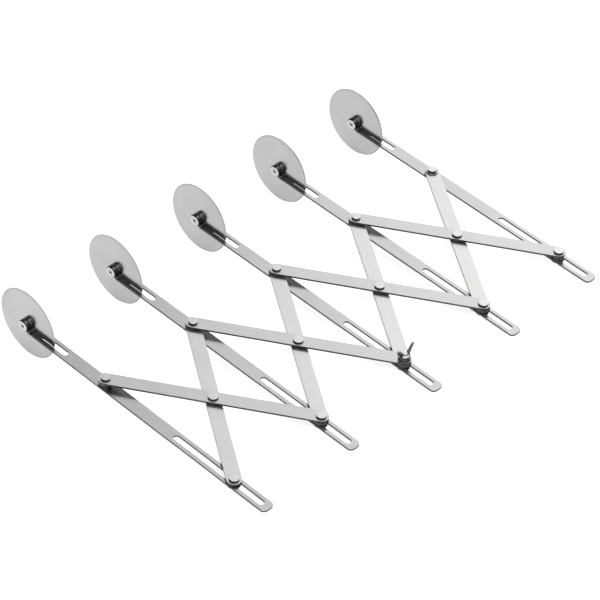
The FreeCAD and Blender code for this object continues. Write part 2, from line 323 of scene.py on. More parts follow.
BEVEL_FADE = 0.1 * MM
PRONG_SHADE = 0.4          # painted shade on the bent prongs, against the flat of the arm
PRONG_SHADE_FADE = 3.0 * MM
UNDER_SHADE = 0.25          # painted shade on a strip's underside, against its top
SHEARED_ROUGH = 0.12       # extra roughness of sheared edges
DEEP_SHADE = 0.05           # painted shade on a screw past its head


def new_material(name):
    material = bpy.data.materials.new(name)
    material.use_nodes = True
    tree = material.node_tree
    tree.nodes.clear()
    out = tree.nodes.new("ShaderNodeOutputMaterial")
    shader = tree.nodes.new("ShaderNodeBsdfPrincipled")
    tree.links.new(shader.outputs["BSDF"], out.inputs["Surface"])
    return material, tree, shader


def math_node(tree, operation, first, second=None):
    node = tree.nodes.new("ShaderNodeMath")
    node.operation = operation
    for slot_index, value in enumerate((first, second)):
        if value is None:
            continue
        if isinstance(value, (int, float)):
            node.inputs[slot_index].default_value = value
        else:
            tree.links.new(value, node.inputs[slot_index])
    return node.outputs[0]


def noise(tree, vector, scale, detail=3.0, rough=0.5):
    node = tree.nodes.new("ShaderNodeTexNoise")
    node.inputs["Scale"].default_value = scale
    node.inputs["Detail"].default_value = detail
    node.inputs["Roughness"].default_value = rough
    tree.links.new(vector, node.inputs["Vector"])
    return node.outputs["Fac"]


def ramp(tree, value, low, high, to_low, to_high):
    node = tree.nodes.new("ShaderNodeMapRange")
    node.inputs["From Min"].default_value = low
    node.inputs["From Max"].default_value = high
    node.inputs["To Min"].default_value = to_low
    node.inputs["To Max"].default_value = to_high
    tree.links.new(value, node.inputs["Value"])
    return node.outputs["Result"]


def grey(tree, value, tint=(1.0, 1.0, 1.0)):
    node = tree.nodes.new("ShaderNodeCombineColor")
    for channel, share in zip(("Red", "Green", "Blue"), tint):
        scaled = math_node(tree, "MULTIPLY", value, share)
        tree.links.new(scaled, node.inputs[channel])
    return node.outputs["Color"]


def spread(tree, value, to_low, to_high):
    """Carry a noise value onto the range between two levels."""
    return ramp(tree, value, NOISE_LOW, NOISE_HIGH, to_low, to_high)


def mixed(tree, first, second, share):
    """Two noises added, the first with its share and the second with the rest."""
    return math_node(tree, "ADD", math_node(tree, "MULTIPLY", first, share),
                     math_node(tree, "MULTIPLY", second, 1.0 - share))


def one_axis(tree, coordinates, axis):
    """One axis of a coordinate output."""
    parts = tree.nodes.new("ShaderNodeSeparateXYZ")
    tree.links.new(coordinates, parts.inputs["Vector"])
    return parts.outputs[axis]


def bump(tree, shader, height, strength, distance):
    node = tree.nodes.new("ShaderNodeBump")
    node.inputs["Strength"].default_value = strength
    node.inputs["Distance"].default_value = distance
    tree.links.new(height, node.inputs["Height"])
    tree.links.new(node.outputs["Normal"], shader.inputs["Normal"])


def facing(tree, direction, both_ways=True):
    """How squarely a surface faces along a direction: 1 on flat faces, 0 on their sides.

    One way only, the faces on the other side of the piece give -1."""
    place = tree.nodes.new("ShaderNodeNewGeometry")
    dot = tree.nodes.new("ShaderNodeVectorMath")
    dot.operation = "DOT_PRODUCT"
    dot.inputs[1].default_value = direction
    tree.links.new(place.outputs["Normal"], dot.inputs[0])
    if both_ways:
        return math_node(tree, "ABSOLUTE", dot.outputs["Value"])
    return dot.outputs["Value"]


def strip_steel(name, angle, base, rough, side_shade, prong_shade_from=None):
    """Strip brushed along its length; angle is its direction from +Y, about Z.

    Past the given Y of the row frame the strip is bent and darker: painted shade. Its sides and
    underside are darker too, also painted shade, though sheared sides are rougher as well."""
    material, tree, shader = new_material(name)
    coords = tree.nodes.new("ShaderNodeTexCoord")
    turn = tree.nodes.new("ShaderNodeMapping")
    turn.inputs["Rotation"].default_value = (0, 0, angle)
    tree.links.new(coords.outputs["Object"], turn.inputs["Vector"])
    stretch = tree.nodes.new("ShaderNodeMapping")
    stretch.inputs["Scale"].default_value = (1.0, STRETCH, 1.0)
    tree.links.new(turn.outputs["Vector"], stretch.inputs["Vector"])
    fine = noise(tree, stretch.outputs["Vector"], BRUSH_SCALE, 4.0, 0.65)
    broad = noise(tree, stretch.outputs["Vector"], BROAD_SCALE, 3.0, 0.6)
    cloud = noise(tree, coords.outputs["Object"], CLOUD_SCALE, 3.0, 0.55)
    lines = mixed(tree, fine, broad, 0.6)
    tone = math_node(tree, "ADD", spread(tree, lines, base - 0.09, base + 0.08),
                     spread(tree, cloud, -CLOUD_TONE, CLOUD_TONE))
    flat = facing(tree, ARM_UP)
    # painted shade: faces turned away from the strip's flat, its sheared sides and rolled eye, are
    # darkened
    side_shade_tone = ramp(tree, flat, FLAT_FROM, FLAT_TO, side_shade, 1.0)
    tone = math_node(tree, "MULTIPLY", tone, side_shade_tone)
    # painted shade on the strip's underside
    underside_shade = ramp(tree, facing(tree, ARM_UP, False), UNDER_SHADE_FULL, 0.0, UNDER_SHADE, 1.0)
    tone = math_node(tree, "MULTIPLY", tone, underside_shade)
    # painted shade on the bent prongs and the rolled eye
    if prong_shade_from is not None:
        prong_shade = ramp(tree, one_axis(tree, coords.outputs["Object"], "Y"), prong_shade_from,
                           prong_shade_from + PRONG_SHADE_FADE, 1.0, PRONG_SHADE)
        tone = math_node(tree, "MULTIPLY", tone, prong_shade)
    tree.links.new(grey(tree, tone, STRIP_TINT), shader.inputs["Base Color"])
    shader.inputs["Metallic"].default_value = 1.0
    surface = spread(tree, lines, rough - 0.05, rough + 0.07)
    edge_surface = ramp(tree, flat, FACE_FROM, FACE_TO, SHEARED_ROUGH, 0.0)
    tree.links.new(math_node(tree, "ADD", surface, edge_surface), shader.inputs["Roughness"])
    bump(tree, shader, lines, *FINE_BUMP)
    return material


def disc_steel(name, base, rough):
    """Ground disc: faint rings about the axle over a fine satin."""
    material, tree, shader = new_material(name)
    coords = tree.nodes.new("ShaderNodeTexCoord")
    place_y = one_axis(tree, coords.outputs["Object"], "Y")
    dy = math_node(tree, "SUBTRACT", place_y, AXLE_ROW.y)
    dz = math_node(tree, "SUBTRACT", one_axis(tree, coords.outputs["Object"], "Z"), AXLE_ROW.z)
    radius = math_node(tree, "SQRT", math_node(tree, "ADD", math_node(tree, "MULTIPLY", dy, dy),
                                               math_node(tree, "MULTIPLY", dz, dz)))
    ring = tree.nodes.new("ShaderNodeCombineXYZ")
    tree.links.new(radius, ring.inputs["X"])
    tree.links.new(math_node(tree, "MULTIPLY", place_y, STRETCH), ring.inputs["Y"])
    rings = noise(tree, ring.outputs["Vector"], RING_SCALE, 4.0, 0.6)
    satin = noise(tree, coords.outputs["Object"], SATIN_SCALE, 2.0, 0.5)
    cloud = noise(tree, coords.outputs["Object"], DISC_CLOUD_SCALE, 3.0, 0.5)
    lines = mixed(tree, rings, satin, 0.65)
    tone = math_node(tree, "ADD", spread(tree, lines, base - 0.035, base + 0.03),
                     spread(tree, cloud, -CLOUD_TONE, CLOUD_TONE))
    shoulder = (WHEEL_RADIUS - BEVEL_WIDTH) * MM
    bevel_tone = ramp(tree, radius, shoulder - BEVEL_FADE, shoulder + BEVEL_FADE, 1.0, BEVEL_TONE)
    tone = math_node(tree, "MULTIPLY", tone, bevel_tone)
    tree.links.new(grey(tree, tone), shader.inputs["Base Color"])
    shader.inputs["Metallic"].default_value = 1.0
    tree.links.new(math_node(tree, "ADD", spread(tree, lines, rough - 0.03, rough + 0.04),
                             spread(tree, cloud, -0.02, 0.02)),
                   shader.inputs["Roughness"])
    bump(tree, shader, lines, *FINE_BUMP)
    return material


def turned_steel(name, base, rough, direction, side, face=1.0, grain=TURNED_GRAIN,
                 painted_shine_depth=None):
    """Small turned or stamped hardware: fine marks, a few scuffs, brighter worn spots.

    Faces square to the direction have the face tone, the others the side tone: painted shade, or
    painted highlight where a tone is above 1. With a depth share given, only that share of the
    piece's length from its -X end keeps its tone, and the rest has painted shade."""
    material, tree, shader = new_material(name)
    coords = tree.nodes.new("ShaderNodeTexCoord")
    fine = noise(tree, coords.outputs["Object"], grain, 3.0, 0.6)
    scuff = noise(tree, coords.outputs["Object"], SCUFF_SCALE, 4.0, 0.6)
    tone = math_node(tree, "ADD", spread(tree, fine, base - 0.03, base + 0.03),
                     ramp(tree, scuff, 0.35, 0.65, -0.03, 0.03))
    # painted shade on faces by how they face the direction, or painted highlight where the tone is
    # above 1
    facing_shade = ramp(tree, facing(tree, direction), FACE_FROM, FACE_TO, side, face)
    tone = math_node(tree, "MULTIPLY", tone, facing_shade)
    # painted shade past the given share of the piece's length
    if painted_shine_depth is not None:
        deep_shade = ramp(tree, one_axis(tree, coords.outputs["Generated"], "X"), painted_shine_depth,
                          painted_shine_depth * 1.2, 1.0, DEEP_SHADE)
        tone = math_node(tree, "MULTIPLY", tone, deep_shade)
    tree.links.new(grey(tree, tone), shader.inputs["Base Color"])
    shader.inputs["Metallic"].default_value = 1.0
    tree.links.new(spread(tree, scuff, rough - 0.05, rough + 0.06), shader.inputs["Roughness"])
    bump(tree, shader, scuff, *SCUFF_BUMP)
    return material


LINK_LEAN = math.atan2(SPACING, PIVOT_DROP)
# where the painted shade on the arms' prongs starts
PRONG_SHADE_START = (TO_ROW @ Vector((0, AXLE_Y - PRONG_LENGTH, 0))).y
# name, direction of brushing, base tone, roughness, painted shade tone of sheared sides and the
# rolled eye, then where the prongs' painted shade starts
ARM_STEEL = strip_steel("arm_steel", 0.0, 0.49, 0.25, 0.14, PRONG_SHADE_START)
LINK_A_STEEL = strip_steel("link_a_steel", -LINK_LEAN, 0.585, 0.33, 0.1)
LINK_B_STEEL = strip_steel("link_b_steel", LINK_LEAN, 0.63, 0.3, 0.12)
BLADE_STEEL = disc_steel("blade_steel", 0.38, 0.2)
# name, base tone, roughness, direction of the faces, painted shade tone of sides, then of faces (a
# tone above 1 is a painted highlight)
RIVET_STEEL = turned_steel("rivet_steel", 0.64, 0.3, ARM_UP, 0.03)
WASHER_STEEL = turned_steel("washer_steel", 0.5, 0.25, ARM_UP, 0.12)
AXLE_STEEL = turned_steel("axle_steel", 0.5, 0.14, ALONG_AXLE, 0.5, 0.12)
# painted highlight on the screw head's rim, painted shade past its head
SCREW_STEEL = turned_steel("screw_steel", 0.47, 0.2, ALONG_AXLE, 1.6, painted_shine_depth=0.02)
NUT_STEEL = turned_steel("nut_steel", 0.62, 0.16, ARM_UP, 0.08, grain=CAST_GRAIN)


# ---------------------------------------------------------------- strips

def link_piece(name, body, node, start, end, level, material):
    """Flat link with full-round ends."""
    run = end - start
    length = run.length
    half = LINK_WIDTH / 2.0
    turns = [math.pi * i / (2 * ROUND_STEPS) for i in range(2 * ROUND_STEPS + 1)]
    outline = [Vector((length + half * math.sin(a), half * math.cos(a), 0)) for a in turns]
    outline += [Vector((-half * math.sin(a), -half * math.cos(a), 0)) for a in turns]
    place = (Matrix.Translation((start.x, start.y, level))
             @ Matrix.Rotation(math.atan2(run.y, run.x), 4, "Z"))
    bm = bmesh.new()
    low = [bm.verts.new(place @ p) for p in outline]
    high = [bm.verts.new(place @ (p + Vector((0, 0, THICK)))) for p in outline]
    bm.faces.new(high)
    bm.faces.new(list(reversed(low)))
    count = len(outline)
    for i in range(count):
        j = (i + 1) % count
        bm.faces.new((low[i], low[j], high[j], high[i]))
    round_edges(bm, EDGE, EDGE_STEPS)
    return finish_mesh(bm, name, body, [node], material)


def neck_path():
    """Where the prong's neck starts, its end angle, and the developed length past it."""
    neck_middle = NECK_INNER + THICK / 2.0
    eye_middle = (EYE_INNER + EYE_OUTER) / 2.0
    drop = AXLE_Z - (THICK / 2.0 + neck_middle)
    along = math.sqrt((neck_middle + eye_middle) ** 2 - drop ** 2)
    angle = math.atan2(drop, along)
    neck_length = neck_middle * (angle + math.pi / 2)
    roll_length = eye_middle * (math.pi + angle - ROLL_END)
    return AXLE_Y - along, angle, neck_length, roll_length


NECK_Y, NECK_ANGLE, NECK_RUN, ROLL_RUN = neck_path()


def rolled(point):
    """Carry a point of the flat developed arm onto the neck bend and the rolled eye."""
    past = point.y - NECK_Y
    if past <= 0:
        return point.copy()
    if past <= NECK_RUN:
        a = -math.pi / 2 + past / (NECK_INNER + THICK / 2.0)
        r = NECK_INNER + THICK - point.z
        return Vector((point.x, NECK_Y + r * math.cos(a),
                       NECK_INNER + THICK + r * math.sin(a)))
    a = math.pi + NECK_ANGLE - (past - NECK_RUN) / ((EYE_INNER + EYE_OUTER) / 2.0)
    r = EYE_INNER + point.z
    return Vector((point.x, AXLE_Y + r * math.cos(a), AXLE_Z + r * math.sin(a)))


def arm_outer(s):
    """Half width of the arm's outline at a station along it."""
    half = ARM_WIDTH / 2.0
    past = s - TAIL_Y
    if past >= TAIL_NOSE + TAIL_CORNER:
        return half
    if past >= TAIL_NOSE:
        t = (past - TAIL_NOSE) / TAIL_CORNER
        return half - TAIL_CORNER_IN + TAIL_CORNER_IN * math.sin(t * math.pi / 2)
    nose = math.sqrt(max(0.0, 1.0 - (1.0 - past / TAIL_NOSE) ** 2))
    return (half - TAIL_CORNER_IN) * nose


SLIT_EDGES = {-1: WHEEL_X - SLIT_WIDTH / 2.0, 1: WHEEL_X + SLIT_WIDTH / 2.0}


def arm_inner(s, side):
    """X of the opening's edge on one side of the arm at a station along it."""
    r = SLOT_WIDTH / 2.0
    for back, front in ((REAR_SLOT_BACK, REAR_SLOT_FRONT), (FRONT_SLOT_BACK, FRONT_SLOT_FRONT)):
        if back < s < front:
            off = max(0.0, back + r - s, s - (front - r))
            round_share = math.sqrt(max(0.0, 1.0 - (off / r) ** 2))
            if front == FRONT_SLOT_FRONT and s > front - r:
                if side > 0:
                    return SLIT_EDGES[1] + (r - SLIT_EDGES[1]) * round_share
                return min(-r * round_share, SLIT_EDGES[-1])
            return side * r * round_share
    if s >= FRONT_SLOT_FRONT:
        return SLIT_EDGES[side]
    return 0.0


def is_open(s):
    return arm_inner(s, -1) < -1e-6


def arm_stations():
    """Stations along the flat arm where its outline, slots and bends need a section."""
    r = SLOT_WIDTH / 2.0
    stations = [TAIL_Y + TAIL_NOSE * (1 - math.cos(math.pi / 2 * i / 8)) for i in range(9)]
    stations += [TAIL_Y + TAIL_NOSE + TAIL_CORNER * i / 6 for i in range(1, 7)]
    for back, front in ((REAR_SLOT_BACK, REAR_SLOT_FRONT), (FRONT_SLOT_BACK, FRONT_SLOT_FRONT)):
        stations += [back + r * (1 - math.cos(math.pi / 2 * i / ROUND_STEPS))
                     for i in range(ROUND_STEPS + 1)]
        stations += [front - r + r * math.sin(math.pi / 2 * i / ROUND_STEPS)
                     for i in range(ROUND_STEPS + 1)]
    stations.append(NECK_Y)
    stations += [NECK_Y + NECK_RUN * i / NECK_STEPS for i in range(1, NECK_STEPS + 1)]
    stations += [NECK_Y + NECK_RUN + ROLL_RUN * i / ROLL_STEPS for i in range(1, ROLL_STEPS + 1)]
    return sorted(set(round(s, 6) for s in stations))


def arm_piece(number):
    """Arm built flat, edges rounded, then its prongs rolled up over the axle."""
    bm = bmesh.new()
    stations = arm_stations()
    for side in (-1, 1):
        rails = []
        for s in stations:
            inner = arm_inner(s, side)
            outer = side * arm_outer(s)
            rails.append([bm.verts.new((x, s, z)) for x, z in
                          ((inner, 0), (outer, 0), (outer, THICK), (inner, THICK))])
        for i in range(len(stations) - 1):
            a, b = rails[i], rails[i + 1]
            open_here = is_open(stations[i]) or is_open(stations[i + 1])
            for k in range(4):
                if k == 3 and not open_here:
                    continue
                m = (k + 1) % 4
                bm.faces.new((a[k], a[m], b[m], b[k]))
        bm.faces.new(rails[-1])
    bmesh.ops.remove_doubles(bm, verts=bm.verts, dist=WELD)
    bmesh.ops.dissolve_degenerate(bm, dist=WELD, edges=bm.edges)
    bmesh.ops.recalc_face_normals(bm, faces=bm.faces)
    round_edges(bm, EDGE, EDGE_STEPS)
    for v in bm.verts:
        v.co = rolled(v.co)
        v.co.x += arm_x(number)
    name = "arm_%d_strip" % number
    return finish_mesh(bm, name, "arm_%d" % number, ["arm_%d" % number], ARM_STEEL)


for n in range(1, 6):
    arm_piece(n)
for n in range(1, 5):
    link_piece("link_a_%d_strip" % n, "link_a_%d" % n, "link_a_%d" % n,
               Vector((arm_x(n), 0, 0)), Vector((arm_x(n + 1), -PIVOT_DROP, 0)),
               LINK_A_Z, LINK_A_STEEL)
    link_piece("link_b_%d_strip" % n, "link_b_%d" % n, "link_b_%d" % n,
               Vector((arm_x(n + 1), 0, 0)), Vector((arm_x(n), -PIVOT_DROP, 0)),
               LINK_B_Z, LINK_B_STEEL)


# ---------------------------------------------------------------- discs

def wheel_piece(number):
    """Thin disc with a ground bevel at its rim."""
    half = WHEEL_THICK / 2.0
    rim = RIM_THICK / 2.0
    shoulder = WHEEL_RADIUS - BEVEL_WIDTH
    near_face = [(WHEEL_BORE, half), (WHEEL_BAND, half), (shoulder - WHEEL_BAND, half),
                 (shoulder - SHOULDER_EASE, half), (shoulder + SHOULDER_EASE, half - SHOULDER_DROP),
                 (WHEEL_RADIUS - RIM_EASE, rim), (WHEEL_RADIUS, rim - RIM_EASE)]
    profile = [(radius, -height) for radius, height in near_face] + near_face[::-1]
    bm = bmesh.new()
    lathe(bm, profile, across(arm_x(number) + WHEEL_X), WHEEL_STEPS)
    name = "wheel_%d_disc" % number
    body = "wheel_%d" % number
    return finish_mesh(bm, name, body, [body], BLADE_STEEL, 20.0)


for n in range(1, 6):
    wheel_piece(n)

# ---------------------------------------------------------------- pivots and washers

def pin_profile(low, foot_top, seat, head_radius):
    """Rivet or pin: foot, shank and head, from axis to axis."""
    points = [(0.0, low)]
    points += arc((TAIL_HEAD_RADIUS - FOOT_EDGE, low + FOOT_EDGE), FOOT_EDGE, -90, 0, 3)
    points += arc((TAIL_HEAD_RADIUS - TAIL_EDGE, foot_top - TAIL_EDGE), TAIL_EDGE, 0, 90, 2)
    points += [(PIN_RADIUS, foot_top), (PIN_RADIUS, seat)]
    points += head_profile(head_radius, seat, seat + HEAD_THICK)
    return points


def turned_piece(name, body, node, material, shells):
    """One piece made of lathe shells, each a profile and its placing matrix."""
    bm = bmesh.new()
    for profile, place in shells:
        lathe(bm, profile, place, TURNED_STEPS)
    return finish_mesh(bm, name, body, [node], material)


FOOT_TOP = -FOOT_GAP - FOOT_WASHER_THICK
FOOT_LOW = FOOT_TOP - FOOT_HEAD_THICK


def foot_washer(number):
    """Washer that slides along the underside of an arm at its rear slot."""
    return (washer_profile(FOOT_WASHER_RADIUS, PIN_RADIUS, FOOT_TOP, -FOOT_GAP),
            upright(arm_x(number), -PIVOT_DROP))


def spacer(low, high, place, slack=0.0):
    """Spacing washer about a pivot between two levels."""
    return washer_profile(WASHER_RADIUS, PIN_RADIUS + slack, low, high), place


for n in range(1, 6):
    front_seat = LINK_A_Z if n == 5 else LINK_A_TOP + RUN_GAP
    turned_piece("front_rivet_%d_head" % n, "arm_%d" % n, "front_rivet_%d" % n,
                 RIVET_STEEL,
                 [(pin_profile(-TAIL_HEAD_THICK, 0.0, front_seat, FRONT_HEAD_RADIUS),
                   upright(arm_x(n), 0))])
turned_piece("front_top_ring", "arm_5", "front_top_washer", WASHER_STEEL,
             [spacer(MID_WASHER_Z, LINK_A_Z, upright(arm_x(5), 0))])
for n in range(1, 5):
    middle = upright(arm_x(n) + SPACING / 2.0, -PIVOT_DROP / 2.0)
    front = upright(arm_x(n), 0)
    rear = upright(arm_x(n + 1), -PIVOT_DROP)
    tail_low = LINK_B_Z - RUN_GAP - MID_TAIL_THICK
    turned_piece("middle_rivet_%d_head" % n, "link_a_%d" % n, "middle_rivet_%d" % n,
                 RIVET_STEEL,
                 [(pin_profile(tail_low, tail_low + MID_TAIL_THICK, LINK_A_TOP,
                               MIDDLE_HEAD_RADIUS), middle)])
    front_low = LOW_WASHER_Z if n == 1 else MID_WASHER_Z
    rear_low = LOW_WASHER_Z if n == 4 else MID_WASHER_Z
    turned_piece("link_a_%d_rings" % n, "link_a_%d" % n, "link_a_washers_%d" % n,
                 WASHER_STEEL,
                 [spacer(MID_WASHER_Z, LINK_A_Z, middle),
                  spacer(front_low, LINK_A_Z, front, TURN_SLACK),
                  spacer(rear_low, LINK_A_Z, rear),
                  foot_washer(n + 1)])
    spacers = [spacer(LOW_WASHER_Z, LINK_B_Z, upright(arm_x(n + 1), 0), TURN_SLACK),
               spacer(LOW_WASHER_Z, LINK_B_Z, upright(arm_x(n), -PIVOT_DROP),
                      0.0 if n == 1 else PASS_SLACK)]
    if n == 1:
        spacers.append(foot_washer(1))
    turned_piece("link_b_%d_rings" % n, "link_b_%d" % n, "link_b_washers_%d" % n,
                 WASHER_STEEL, spacers)
for n in (1, 2, 4, 5):
    rear_seat = LINK_B_TOP if n == 1 else LINK_A_TOP
    turned_piece("rear_pin_%d_head" % n, "link_b_1" if n == 1 else "link_a_%d" % (n - 1),
                 "rear_pin_%d" % n, RIVET_STEEL,
                 [(pin_profile(FOOT_LOW, FOOT_TOP, rear_seat, REAR_HEAD_RADIUS),
                   upright(arm_x(n), -PIVOT_DROP))])


def lock_bolt_piece():
    """Bolt with rolled thread showing above the wing nut and its foot below the arm."""
    points = [(0.0, FOOT_LOW)]
    points += arc((TAIL_HEAD_RADIUS - FOOT_EDGE, FOOT_LOW + FOOT_EDGE), FOOT_EDGE, -90, 0, 3)
    points += [(TAIL_HEAD_RADIUS, FOOT_TOP), (PIN_RADIUS, FOOT_TOP), (PIN_RADIUS, NUT_Z)]
    root = PIN_RADIUS - THREAD_DEPTH
    height = NUT_Z + THREAD_PITCH / 2.0
    while height < BOLT_TOP - THREAD_PITCH:
        points += [(root, height), (root, height + 0.1), (PIN_RADIUS, height + 0.35),
                   (PIN_RADIUS, height + 0.45)]
        height += THREAD_PITCH
    points += [(PIN_RADIUS - 0.15, BOLT_TOP - 0.4), (PIN_RADIUS - 0.5, BOLT_TOP), (0.0, BOLT_TOP)]
    turned_piece("lock_bolt_stud", "link_a_2", "lock_bolt", RIVET_STEEL,
                 [(points, upright(arm_x(3), -PIVOT_DROP))])


lock_bolt_piece()


# ---------------------------------------------------------------- wing nut

def wing_shell(bm, side):
    """One cast wing: a leaning tongue that thins towards its round tip."""
    foot_z = NUT_Z + NUT_HEIGHT
    root = Vector((WING_ROOT_X, 0, foot_z - WING_ROOT_SINK))
    tip = Vector((WING_TIP_X, 0, foot_z + WING_TIP_RISE))
    run = tip - root
    lean = math.atan2(run.x, run.z)
    out = Vector((math.cos(lean), 0, -math.sin(lean)))
    sections = list(WING_SECTIONS)
    _, tip_width, tip_thick = WING_SECTIONS[-1]
    for i in range(1, WING_TIP_STEPS):
        a = math.pi / 2 * i / WING_TIP_STEPS
        sections.append((1.0 + WING_TIP_SHARE * math.sin(a), tip_width * math.cos(a),
                         tip_thick * math.cos(a) ** 0.5))
    loops = []
    for share, half_width, half_thick in sections:
        centre = root + run * share
        loop = []
        for k in range(WING_POINTS):
            a = 2 * math.pi * k / WING_POINTS
            flat = math.copysign(abs(math.cos(a)) ** WING_SQUARENESS, math.cos(a))
            deep = math.copysign(abs(math.sin(a)) ** WING_SQUARENESS, math.sin(a))
            p = centre + out * (half_width * flat) + Vector((0, half_thick * deep, 0))
            if side < 0:
                p = Vector((-p.x, -p.y, p.z))
            loop.append(bm.verts.new((p.x + arm_x(3), p.y - PIVOT_DROP, p.z)))
        loops.append(loop)
    for low, high in zip(loops, loops[1:]):
        band(bm, low, high)
    bm.faces.new(list(reversed(loops[0])))
    bm.faces.new(loops[-1])


def wing_nut_piece():
    """Tapered round boss with a bore, and a cast wing on each side."""
    bm = bmesh.new()
    top = NUT_Z + NUT_HEIGHT
    points = [(NUT_BORE, NUT_Z)]
    points += arc((NUT_RADIUS_LOW - NUT_LOW_EDGE, NUT_Z + NUT_LOW_EDGE), NUT_LOW_EDGE, -90, 0, 4)
    points += arc((NUT_RADIUS_HIGH - NUT_TOP_EDGE, top - NUT_TOP_EDGE), NUT_TOP_EDGE, 5, 90, 5)
    points += [(NUT_BORE + NUT_LOW_EDGE, top), (NUT_BORE, top - NUT_LOW_EDGE)]
    lathe(bm, points, upright(arm_x(3), -PIVOT_DROP), NUT_STEPS)
    wing_shell(bm, 1)
    wing_shell(bm, -1)
    return finish_mesh(bm, "wing_nut_cast", "wing_nut", ["wing_nut"], NUT_STEEL, 50.0)


wing_nut_piece()


# ---------------------------------------------------------------- axles

def hole_face(bm, rim, inner):
    """Flat face between a closed rim loop and a closed inner loop of vertices."""
    edges = []
    for loop in (rim, inner):
        for k, v in enumerate(loop):
            edges.append(bm.edges.get((v, loop[(k + 1) % len(loop)]))
                         or bm.edges.new((v, loop[(k + 1) % len(loop)])))
    bmesh.ops.triangle_fill(bm, edges=edges, use_beauty=True)


def axle_screw_piece(number):
    """Screw from the -X side: shank, round head and a cross recess."""
    bm = bmesh.new()
    face = -ARM_WIDTH / 2.0
    head = face - AXLE_HEAD_THICK
    tip = ARM_WIDTH / 2.0 - SCREW_TIP_GAP
    place = across(arm_x(number))
    profile = [(0.0, tip), (SCREW_RADIUS, tip), (SCREW_RADIUS, face), (AXLE_HEAD_RADIUS, face)]
    profile += arc((AXLE_HEAD_RADIUS - SCREW_HEAD_EDGE, head + SCREW_HEAD_EDGE),
                   SCREW_HEAD_EDGE, 0, -90, 5)
    lathe(bm, profile, place, SCREW_STEPS)
    rim = list(bm.verts)[-SCREW_STEPS:]
    outline = []
    for quarter in range(4):
        turn = Matrix.Rotation(math.radians(45 + 90 * quarter), 4, "Z")
        for x, y in ((RECESS_HALF, RECESS_HALF), (RECESS_REACH, RECESS_HALF),
                     (RECESS_REACH, -RECESS_HALF)):
            outline.append(turn @ Vector((x, y, head)))
    outline = sorted(outline, key=lambda p: math.atan2(p.y, p.x))
    inner = [bm.verts.new(place @ p) for p in outline]
    hole_face(bm, rim, inner)
    bottom = [Vector((p.x * RECESS_TAPER, p.y * RECESS_TAPER, head + RECESS_DEPTH))
              for p in outline]
    floor_loop = [bm.verts.new(place @ p) for p in bottom]
    band(bm, inner, floor_loop)
    bm.faces.new(floor_loop)
    name = "axle_screw_%d_head" % number
    return finish_mesh(bm, name, "arm_%d" % number, ["axle_screw_%d" % number],
                       SCREW_STEEL)


def slotted_angles(radius):
    """Angles round each half of a head, from one edge of its slot to the other."""
    edge_angle = math.asin(BARREL_SLOT_HALF / radius)
    run = math.pi - 2 * edge_angle
    return [[start + run * k / HALF_HEAD_STEPS for k in range(HALF_HEAD_STEPS + 1)]
            for start in (edge_angle, math.pi + edge_angle)]


def round_loop(bm, place, radius, height, angles):
    """Vertices at the given angles about the axle."""
    return [bm.verts.new(place @ Vector((radius * math.cos(a), radius * math.sin(a), height)))
            for a in angles]


def axle_barrel_piece(number):
    """Hollow axle from the +X side with a slot across its head."""
    bm = bmesh.new()
    face = ARM_WIDTH / 2.0
    head = face + AXLE_HEAD_THICK
    place = across(arm_x(number))
    levels = [(AXLE_HEAD_RADIUS, face), (AXLE_HEAD_RADIUS, head - BARREL_SLOT_DEPTH),
              (AXLE_HEAD_RADIUS, head - BARREL_HEAD_EDGE),
              (AXLE_HEAD_RADIUS - BARREL_HEAD_EASE, head - BARREL_HEAD_EASE),
              (AXLE_HEAD_RADIUS - BARREL_HEAD_EDGE, head)]
    levels = [[round_loop(bm, place, radius, height, angles) for angles in slotted_angles(radius)]
              for radius, height in levels]
    for low, high in zip(levels, levels[1:]):
        for half_low, half_high in zip(low, high):
            for k in range(HALF_HEAD_STEPS):
                bm.faces.new((half_low[k], half_low[k + 1], half_high[k + 1], half_high[k]))
    for half in range(2):
        bm.faces.new(levels[-1][half])
        bm.faces.new([level[half][0] for level in levels[1:]]
                     + [level[half][-1] for level in reversed(levels[1:])])
    first, second = levels[1]
    bm.faces.new((first[0], first[-1], second[0], second[-1]))
    base_a, base_b = levels[0]
    bm.faces.new((base_a[-1], base_b[0], second[0], first[-1]))
    bm.faces.new((base_b[-1], base_a[0], first[0], second[-1]))
    end = -face + BARREL_END_GAP
    turns = [2 * math.pi * k / BARREL_STEPS for k in range(BARREL_STEPS)]
    barrel = [round_loop(bm, place, radius, height, turns)
              for radius, height in ((BARREL_RADIUS, face), (BARREL_RADIUS, end),
                                     (SCREW_RADIUS, end), (SCREW_RADIUS, face))]
    hole_face(bm, base_a + base_b, barrel[0])
    for low, high in zip(barrel, barrel[1:]):
        band(bm, low, high)
    bm.faces.new(barrel[-1])
    name = "axle_barrel_%d_head" % number
    return finish_mesh(bm, name, "arm_%d" % number, ["axle_barrel_%d" % number],
                       AXLE_STEEL)


for n in range(1, 6):
    axle_screw_piece(n)
    axle_barrel_piece(n)
    inner = WHEEL_THICK / 2.0
    outer = inner + HUB_WASHER_THICK
    hub = across(arm_x(n) + WHEEL_X)
    hub_rings = [(washer_profile(HUB_WASHER_RADIUS, WHEEL_BORE, low, high, HUB_WASHER_EDGE), hub)
                 for low, high in ((-outer, -inner), (inner, outer))]
    turned_piece("wheel_%d_rings" % n, "wheel_%d" % n, "wheel_washers_%d" % n,
                 WASHER_STEEL, hub_rings)


# ---------------------------------------------------------------- floor, light, camera

TABLE_GLOW = 0.6           # the pale floor is a softly lit light table
TABLE_HALF = 6.0
TABLE_GRAIN = 400.0


